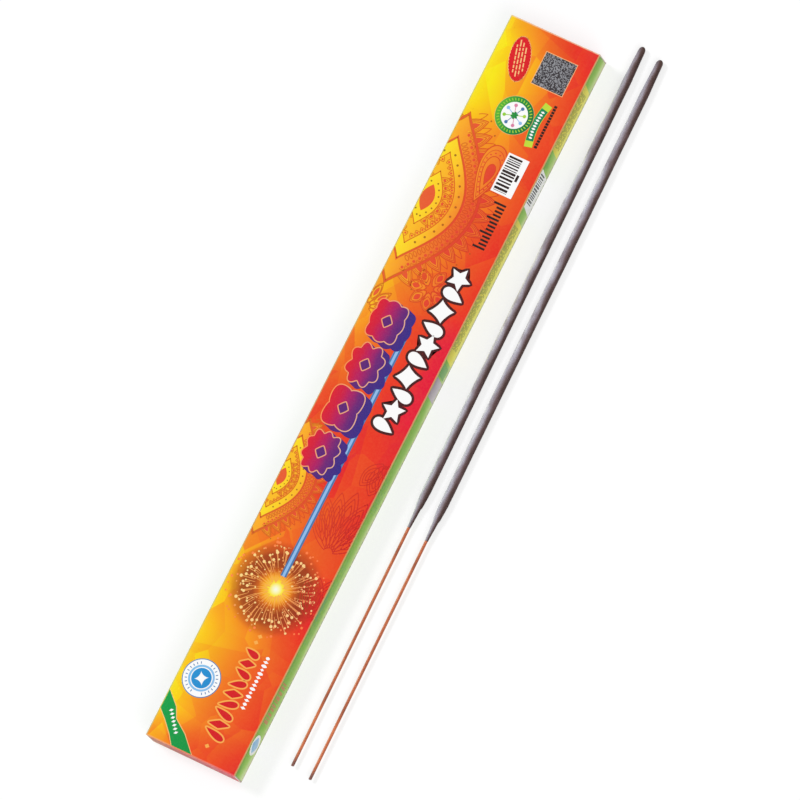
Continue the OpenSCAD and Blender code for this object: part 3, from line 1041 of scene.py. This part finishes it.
# Row of red flames rimmed in gold, and a fine white row beside it
FLAME_START, FLAME_PITCH, FLAME_ACROSS, FLAME_TALL = 258.6, 4.15, 22.6, 2.9
FINE_START, FINE_PITCH, FINE_ACROSS = 257.8, 1.58, 28.9
for k in range(9):
    place, tall = (FLAME_START + FLAME_PITCH * k, FLAME_ACROSS + 0.12 * k), FLAME_TALL + 0.16 * k
    if k % 3 == 1:
        flame = superellipse(place, 1.5, tall, 1.1, 0.2, 48)
    else:
        flame = drop(place, tall, 1.65, -pi / 2 + (0.25 if k % 2 else -0.2), 0.5 if k % 2 else -0.5)
    stack(0.02, 0.014, ("gold", grown(flame, 0.6)), ("red", flame))
for place in ((251.6, 22.4), (254.2, 22.0), (296.8, 23.2)):
    film("gold").fill(superellipse(place, 0.9, 1.0, 1.0, count=12), 0.02)
for k in range(14):
    size, power = 0.8 if k % 3 == 0 else 1.15, 0.9 if k % 2 else 1.6
    place = (FINE_START + FINE_PITCH * k, FINE_ACROSS)
    film("white").fill(superellipse(place, 0.62, size, power, count=24), 0.02)

# White round emblem with a blue field and a white sparkle
EMBLEM = (274.9, 9.4)
sparkle = superellipse(EMBLEM, 2.9, 2.9, 0.62, 0.5)
rounds = [disc(EMBLEM, radius, count) for radius, count in ((7.5, 64), (7.15, 64), (3.9, 48))]
film("sky").stroke(disc(EMBLEM, 4.7, 48), 0.8, 0.044, closed=True)
stack(0.02, 0.012, *zip(("steel", "white", "blue", "white"), (*rounds, sparkle)))
for k, t in enumerate(circle(26)):
    if k % 13 > 1:
        film("steel").stroke([polar(EMBLEM, t, radius) for radius in (5.5, 6.4)], 0.34, 0.044)

# Plain ribbon across the lower left corner, narrower at its middle, with a row of small lozenges
LOZENGE_START, LOZENGE_PITCH = (290.4, 4.6), (1.15, 0.92)
corner_band = [
    (282.3, -1.0), (288.5, 5.6), (292.6, 7.8), (296.4, 13.4), (304.5, 21.5),
    (304.5, 12.5), (298.6, 8.0), (294.2, 3.8), (290.0, -1.0),
]
stack(0.008, 0.014, ("pale_line", grown(corner_band, 0.3)), ("corner", corner_band))
for k in range(7):
    place = [start + pitch * k for start, pitch in zip(LOZENGE_START, LOZENGE_PITCH)]
    film("white").fill(superellipse(place, 0.5, 0.9, 1.0, 0.7, 12), 0.034)


def side_print(face, chance):
    """The print of one side, along from the top end and up from the floor."""
    slab_top = 11.0
    dashes, dash_start, dash_pitch, dash = 144, 11.0, 1.95, 1.1

    def slab(ink, start, end, slant, lift=0.01, bottom=1.0):
        corners = [(start, slab_top), (end, slab_top), (end + slant, bottom), (start + slant, bottom)]
        film(ink, face).fill(corners, lift)

    def rules(ink, start, end, rows, bottom, top, lift=0.024):
        """Rows of short plain dashes, as fine as small print."""
        for row in range(rows):
            height = bottom + (top - bottom) * (row + 0.5) / rows
            for a, b in random_spans(chance, start, end, 0.9, 3.4, lambda: chance.uniform(0.4, 0.8)):
                film(ink, face).stroke([(a, height), (b, height)], 0.62, lift)

    # Slabs: ink, start, end and slant. Rules: ink, start, end, number of rows, bottom and top
    slab("patch", 12.5, 40.0, 1.2, bottom=0.5)
    rules("olive", 15.5, 38.5, 6, 3.4, 11.0)
    slab("side_white", 48.0, 63.8, 1.6, bottom=0.5)
    bars(chance, "side_dark", 49.6, 62.0, 4.0, 10.2, 0.024, 0.25, 0.8, face)
    slab("patch", 69.0, 128.0, 1.2, bottom=0.5)
    rules("olive", 71.5, 123.5, 6, 4.0, 11.0)
    slab("moss", 129.5, 134.5, 0.8, bottom=2.5)
    slab("plum", 135.2, 143.5, 1.0)
    rules("moss", 178.0, 192.0, 3, 3.0, 10.4, 0.012)
    rules("moss", 214.0, 247.0, 3, 3.4, 10.8, 0.012)
    slab("moss", 225.0, 237.0, 0.5, 0.008, bottom=8.2)
    bars(chance, "rust", 263.0, 280.5, 4.4, 9.8, 0.012, 0.5, 1.5, face)
    emblem = [superellipse((288.4, 5.9), *form) for form in ((4.1, 4.5, 2), (3.2, 3.6, 1.3))]
    stack(0.02, 0.014, *zip(("side_white", "side_blue"), emblem), face=face)
    # Fine dashes near the lower fold
    for k in range(dashes):
        a = dash_start + dash_pitch * k
        film("moss", face).fill(rectangle(a, 0.3, a + dash, 0.75), 0.036)


side_print("right", random.Random(5))
side_print("left", random.Random(6))

for drawn in films.values():
    drawn.finish()

# Sparklers, each about its own Y axis with its tip towards +Y
SPARKLER_LENGTH, COATED_LENGTH = 300.0, 201.0  # in millimetres, like all sizes here
TIP = SPARKLER_LENGTH / 2
FOOT = TIP - COATED_LENGTH  # where the coating ends
COATING_RADIUS, WIRE_RADIUS = 1.9, 0.6
TIP_RADIUS, TIP_SWELL, TIP_ROUND = 1.7, 14.0, 1.7
FOOT_LENGTH, FOOT_RADIUS, FILM_RADIUS = 8.0, 1.2, 0.72
SHOULDER_END_RADIUS, STEP_LENGTH, SHOULDER_LENGTH = 1.5, 0.8, 6.0
ROUGHNESS_DEPTH, LUMP_DEPTH, PIT_DEPTH, PIT_LEVEL = 0.10, 0.05, 0.35, 0.38
LUMPS, PITS, COARSE, FINE = 0.11, 1.1, 1.9, 4.6  # how many of each there are to a millimetre
COARSE_SHARE, FINE_SHARE = 0.32, 0.34
TIP_RINGS = 7
THINNEST = 0.64  # the coating never gets thinner than this radius
SKIN = 0.11  # the coating dries to this much less than the full radius
TIP_NARROWING, TIP_REACH = 0.26, 13.0  # and tapers by this much more over the last of its length
LOOSE_TURN = radians(0.85)
TIP_ROOM = 0.03  # keeps the grainy tips inside the CAD box
WIRE_COVERED = 4.0  # length of wire drawn inside the coating
WIRE_DRAWN, CUT_LEAN, CUT_REACH = 0.006, 0.16, 0.3  # depth of the draw marks, and how the cut leans
WIRE_AROUND, WIRE_STEPS = 20, 60
CUT_END = ((0.0, 0.40), (0.02, 0.5), (0.08, 0.56), (0.22, 0.585))  # from the end, and the radius there
CUT_LENGTH = 0.5


def coating_radius(from_tip):
    """Radius of the smooth coating at a distance from its tip."""
    if from_tip < TIP_ROUND:
        return TIP_RADIUS * sqrt(max(0.0, 1 - (1 - from_tip / TIP_ROUND) ** 2))
    if from_tip < TIP_ROUND + TIP_SWELL:
        return TIP_RADIUS + (COATING_RADIUS - TIP_RADIUS) * (from_tip - TIP_ROUND) / TIP_SWELL
    from_end = COATED_LENGTH - from_tip
    step_end = FOOT_LENGTH + STEP_LENGTH
    knots = [
        (0.0, FILM_RADIUS), (FOOT_LENGTH, FOOT_RADIUS), (step_end, SHOULDER_END_RADIUS),
        (step_end + SHOULDER_LENGTH, COATING_RADIUS),
    ]
    for (start, low), (end, high) in zip(knots, knots[1:]):
        if from_end <= end:
            return low + (high - low) * (from_end - start) / (end - start)
    return COATING_RADIUS


def tube_faces(first, rings, around):
    """Faces between rings of points, where first is the number of the first point."""
    pairs = [(first + i * around, k, (k + 1) % around) for i in range(rings - 1) for k in range(around)]
    return [(ring + k, ring + after, ring + after + around, ring + k + around) for ring, k, after in pairs]


def coating_shape(seed, around, step):
    """Points and faces of a grainy coating, always inside the smooth one."""
    stations = [TIP_ROUND * (1 - cos(pi / 2 * k / TIP_RINGS)) for k in range(1, TIP_RINGS + 1)]
    count = round((COATED_LENGTH - TIP_ROUND) / step)
    stations += [TIP_ROUND + (COATED_LENGTH - TIP_ROUND) * k / count for k in range(1, count + 1)]
    points = [(0.0, TIP, 0.0)]
    for d in stations:
        full = coating_radius(d)
        dried = SKIN + TIP_NARROWING * max(0.0, 1 - d / TIP_REACH)
        lump = LUMP_DEPTH * (1 + noise.noise(Vector((d * LUMPS, seed, 0.0)))) * min(1.0, d / 4.0)
        for t in circle(around):
            place = Vector((cos(t) * full, d, sin(t) * full))
            coarse = noise.noise(place * COARSE + Vector((seed, 0, 0)))
            fine = noise.noise(place * FINE + Vector((0, seed, 0)))
            grain = 0.5 + COARSE_SHARE * coarse + FINE_SHARE * fine
            pit = max(0.0, noise.noise(place * PITS + Vector((0, 0, seed))) - PIT_LEVEL) * PIT_DEPTH
            shrink = dried + ROUGHNESS_DEPTH * min(1.0, max(0.0, grain)) + lump * 0.5 + pit
            radius = max(full - shrink * min(1.0, full / COATING_RADIUS), THINNEST)
            if d < TIP_ROUND:
                radius = full * (1 - 0.05 * grain - dried / TIP_RADIUS)
            points.append((cos(t) * radius, TIP - d, sin(t) * radius))
    # The foot closes in on the wire
    points += [(cos(t) * WIRE_RADIUS, FOOT, sin(t) * WIRE_RADIUS) for t in circle(around)]
    cap = [(0, 1 + (k + 1) % around, 1 + k) for k in range(around)]
    return points, cap + tube_faces(1, len(stations) + 1, around)


def wire_shape(seed):
    """Points and faces of the wire's bare end, drawn smooth, with a cut that its shears have drawn over."""
    low = -TIP
    length, radius = FOOT + WIRE_COVERED - low - CUT_LENGTH, WIRE_RADIUS - WIRE_DRAWN
    stations = [(low + out, cut_radius) for out, cut_radius in CUT_END]
    stations += [(low + CUT_LENGTH + length * k / WIRE_STEPS, radius) for k in range(WIRE_STEPS + 1)]
    points = []
    for y, radius in stations:
        for t in circle(WIRE_AROUND):
            r = radius + WIRE_DRAWN * noise.noise(Vector((cos(t) * 2, y * 0.6, sin(t) * 2 + seed)))
            cut = CUT_LEAN * cos(t) * max(0.0, 1 - (y - low) / CUT_REACH)
            points.append((cos(t) * r, max(low, y + cut), sin(t) * r))
    sides = [(a, d, c, b) for a, b, c, d in tube_faces(0, len(stations), WIRE_AROUND)]
    last = tuple(reversed(range(len(points) - WIRE_AROUND, len(points))))
    return points, [tuple(range(WIRE_AROUND)), *sides, last]


def coating_finish():
    """Dried composition, dark brown, with light and shade painted in: pale grey on the side towards the key
    lamp and dark brown on the side away from it.
    """
    f = Finish("composition_coating")
    radius = f.math("SQRT", f.plus(f.math("POWER", f.x, 2.0), f.math("POWER", f.z, 2.0)))
    radius = f.math("MAXIMUM", radius, 0.3)
    # Painted shading: pale on the side towards the key lamp, dark on the side away from it, broken by streaks
    painted_shading = f.over(f.minus(f.times(f.x, 0.94), f.times(f.z, 0.34)), radius)
    streaks = f.noise(2.4, 3.0, 0.6, stretch=0.22)
    painted_shading = f.plus(painted_shading, f.remap(streaks, 0.25, 0.75, -0.22, 0.22))
    # Near the tip the painted pale side is dimmed
    painted_shading = f.plus(painted_shading, f.remap(f.y, TIP - 22.0, TIP - 5.0, 0.0, 0.42))
    colour = f.ramp(f.remap(painted_shading, -1.0, 1.0, smooth=False), [
        (0.00, "FAFAFF"), (0.12, "D2D0DE"), (0.28, "B0AAB8"), (0.44, "92868E"),
        (0.58, "6E5B5B"), (0.72, "523D39"), (1.00, "402D29"),
    ])
    grain = f.noise(0.34, 4.0, 0.7)
    foot, tip = f.remap(f.y, FOOT + 7.0, FOOT + 1.0), f.remap(f.y, TIP - 5.0, TIP - 0.8)
    # Painted shade on the underside and in the hollows of the grain, painted glints, then blotches and both
    # ends, each with its tint
    for share, tint in (
        (f.remap(f.over(f.z, radius), 0.26, -0.3, 0.0, 0.8), "6C5A5A"),
        (f.remap(grain, 0.35, 0.6, 0.32, 0.0), "4A3634"),
        (f.remap(f.cells(0.34, output="Distance"), 0.16, 0.08, 0.0, 0.45), "D6CED8"),
        (f.remap(f.noise(3.4, stretch=0.5), 0.5, 0.72, 0.0, 0.35), "705458"),
        (f.math("MAXIMUM", f.times(foot, 0.3), f.times(tip, 0.7)), "543E38"),
    ):
        colour = f.mix(share, colour, tint)
    f.bump(grain, 0.6, 0.09)
    return f.surface(colour, f.remap(grain, 0.3, 0.7, 0.55, 0.8), 0.2)


def wire_finish():
    """Coppered steel, with draw marks, a highlight painted along the side towards the key lamp, and a dulled,
    darker cut end.
    """
    f = Finish("coppered_wire")
    marks = f.noise(0.5, 3.0, 0.6, stretch=0.04)
    colour = f.ramp(marks, [(0.25, "984C2E"), (0.5, "BA623E"), (0.75, "D67E52")])
    # Painted highlight: paler along the side towards the key lamp
    painted_highlight = f.remap(f.plus(f.x, f.remap(marks, 0.3, 0.7, -0.12, 0.12)), -0.05, -0.5)
    colour = f.mix(f.times(painted_highlight, 0.75), colour, "FCBA8C")
    tarnish = f.remap(f.noise(9.0, 3.0, 0.6, stretch=0.5), 0.42, 0.7, 0.0, 0.6)
    colour = f.mix(tarnish, colour, "7A4434")
    colour = f.mix(f.times(f.remap(f.y, 5.0 - TIP, 1.0 - TIP), 0.8), colour, "624A48")
    f.bump(marks, 0.3, 0.02)
    return f.surface(colour, f.remap(marks, 0.3, 0.7, 0.4, 0.56), 0.25, metallic=0.25)


COATING, WIRE = coating_finish(), wire_finish()


def sparkler(kind, number, seed, around, step, turn):
    """Puts a grainy coating and a drawn wire where the CAD's are."""
    low, high = box_in_mm(f"{kind}_wire_{number}")
    tip_cover = box_in_mm(f"{kind}_coating_{number}")[1].y - high.y
    middle = (low + high) / 2 + Vector((-sin(turn), cos(turn), 0.0)) * (tip_cover / 2)
    middle.y -= TIP_ROOM
    place = Matrix.Translation(middle * MM) @ Matrix.Rotation(turn, 4, "Z")
    body = f"{kind}_sparkler_{number}"
    for part, shape, material, slot in (
        ("coating", coating_shape(seed, around, step), COATING, "composition_coating"),
        ("wire", wire_shape(seed), WIRE, "coppered_wire"),
    ):
        piece = new_piece(f"{body}_{part}", *shape, slot, [material], body, place)
        piece.data.shade_smooth()
        piece.data.polygons[0].use_smooth = part == "coating"
        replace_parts(piece, f"{kind}_{part}_{number}")


for number in (1, 2):
    sparkler("loose", number, 3.7 * number, 36, 0.32, LOOSE_TURN)
for number in range(1, 9):
    sparkler("packed", number, 11.3 + 2.9 * number, 20, 0.9, 0.0)

# Stage, lamps and camera
CAMERA_AZIMUTH = radians(66.97)  # from looking along +Y, turned about +Z
CAMERA_ELEVATION = radians(72.23)
CAMERA_ROLL = radians(-41.06)
CAMERA_DISTANCE, CAMERA_NEAR, CAMERA_FAR = 5.0, 0.1, 50.0
PHOTO_SIDE = 800
PIXELS_PER_MM = 2.684
AIM_RIGHT, AIM_UP = 7.386, 0.38  # from the carton's middle on the floor to the photo's middle, in millimetres
SENSOR = 36.0
FLOOR_REACH, FLOOR_DROP = 6.0, 0.00002  # in metres
FLOOR_COLOUR, FLOOR_ROUGHNESS = 0.74, 0.9
FLOOR_WHITE = 1.12  # what the camera sees of the floor, where 1 is white
SHADOW_FREE = 0.68  # share of the floor's white that doesn't depend on the lamps
ROOM_LIGHT = 0.42

flat = cos(CAMERA_ELEVATION)
toward = Vector((sin(CAMERA_AZIMUTH) * flat, -cos(CAMERA_AZIMUTH) * flat, sin(CAMERA_ELEVATION)))
level_right = Vector((0, 0, 1)).cross(toward).normalized()
level_up = toward.cross(level_right)
right = level_right * cos(CAMERA_ROLL) + level_up * sin(CAMERA_ROLL)
up = level_up * cos(CAMERA_ROLL) - level_right * sin(CAMERA_ROLL)
aim = Vector(((LEFT + RIGHT) / 2, (BOTTOM + TOP) / 2, 0.0)) + right * AIM_RIGHT + up * AIM_UP
camera = bpy.data.objects.new("camera", bpy.data.cameras.new("camera"))
bpy.context.scene.collection.objects.link(camera)
camera.data.sensor_width = SENSOR
camera.data.lens = SENSOR * CAMERA_DISTANCE / (PHOTO_SIDE / PIXELS_PER_MM * MM)
camera.data.clip_start, camera.data.clip_end = CAMERA_NEAR, CAMERA_FAR
rotation = Matrix((right, up, toward)).transposed().to_4x4()
camera.matrix_world = Matrix.Translation(aim * MM + toward * CAMERA_DISTANCE) @ rotation
bpy.context.scene.camera = camera


def background_ray(tree):
    """1 where the camera, or a reflection or a view through glass, looks straight at a surface."""
    rays = new_node(tree, "LightPath", {}).outputs
    seen = rays["Is Camera Ray"]
    for name in ("Is Glossy Ray", "Is Transmission Ray"):
        seen = new_node(tree, "Math", {0: seen, 1: rays[name]}, operation="MAXIMUM").outputs[0]
    return seen


def floor_finish():
    """Pale and plain. Part of the white that the camera sees doesn't depend on the lamps."""
    f = Finish("floor")
    seen = background_ray(f.tree)
    f.shader.inputs["Emission Color"].default_value = grey(1.0)
    feed(f.tree, f.shader.inputs["Emission Strength"], f.times(seen, SHADOW_FREE))
    colour = f.mix(seen, grey(FLOOR_COLOUR), grey(FLOOR_WHITE * (1 - SHADOW_FREE)))
    return f.surface(colour, FLOOR_ROUGHNESS, 0.0)


floor_mesh = bpy.data.meshes.new("floor")
corners = rectangle(-FLOOR_REACH, -FLOOR_REACH, FLOOR_REACH, FLOOR_REACH)
floor_mesh.from_pydata([(x, y, 0) for x, y in corners], [], [(0, 1, 2, 3)])
floor_mesh.materials.append(floor_finish())
floor = bpy.data.objects.new("floor", floor_mesh)
bpy.context.scene.collection.objects.link(floor)
floor.location.z = -FLOOR_DROP

world = bpy.data.worlds.new("world")
world.use_nodes = True
bpy.context.scene.world = world
tree = world.node_tree
strength = new_node(tree, "MapRange", {"Value": background_ray(tree), "To Min": ROOM_LIGHT, "To Max": 1.0})
background = tree.nodes["Background"]
background.inputs["Color"].default_value = grey(1.0)
tree.links.new(strength.outputs["Result"], background.inputs["Strength"])


def sun(name, towards, strength, spread, colour=(1, 1, 1)):
    """A wide, soft lamp that shines from a direction."""
    lamp = bpy.data.objects.new(name, bpy.data.lights.new(name, "SUN"))
    lamp.data.energy, lamp.data.angle, lamp.data.color = strength, radians(spread), colour
    lamp.rotation_mode = "QUATERNION"
    lamp.rotation_quaternion = Vector(towards).to_track_quat("Z", "Y")
    bpy.context.scene.collection.objects.link(lamp)


sun("key", (-0.62, 0.12, 0.78), 1.2, 14, (0.98, 0.98, 1.0))
sun("fill", (0.62, -0.36, 0.7), 1.15, 36)

bpy.context.scene.view_settings.view_transform = "Standard"
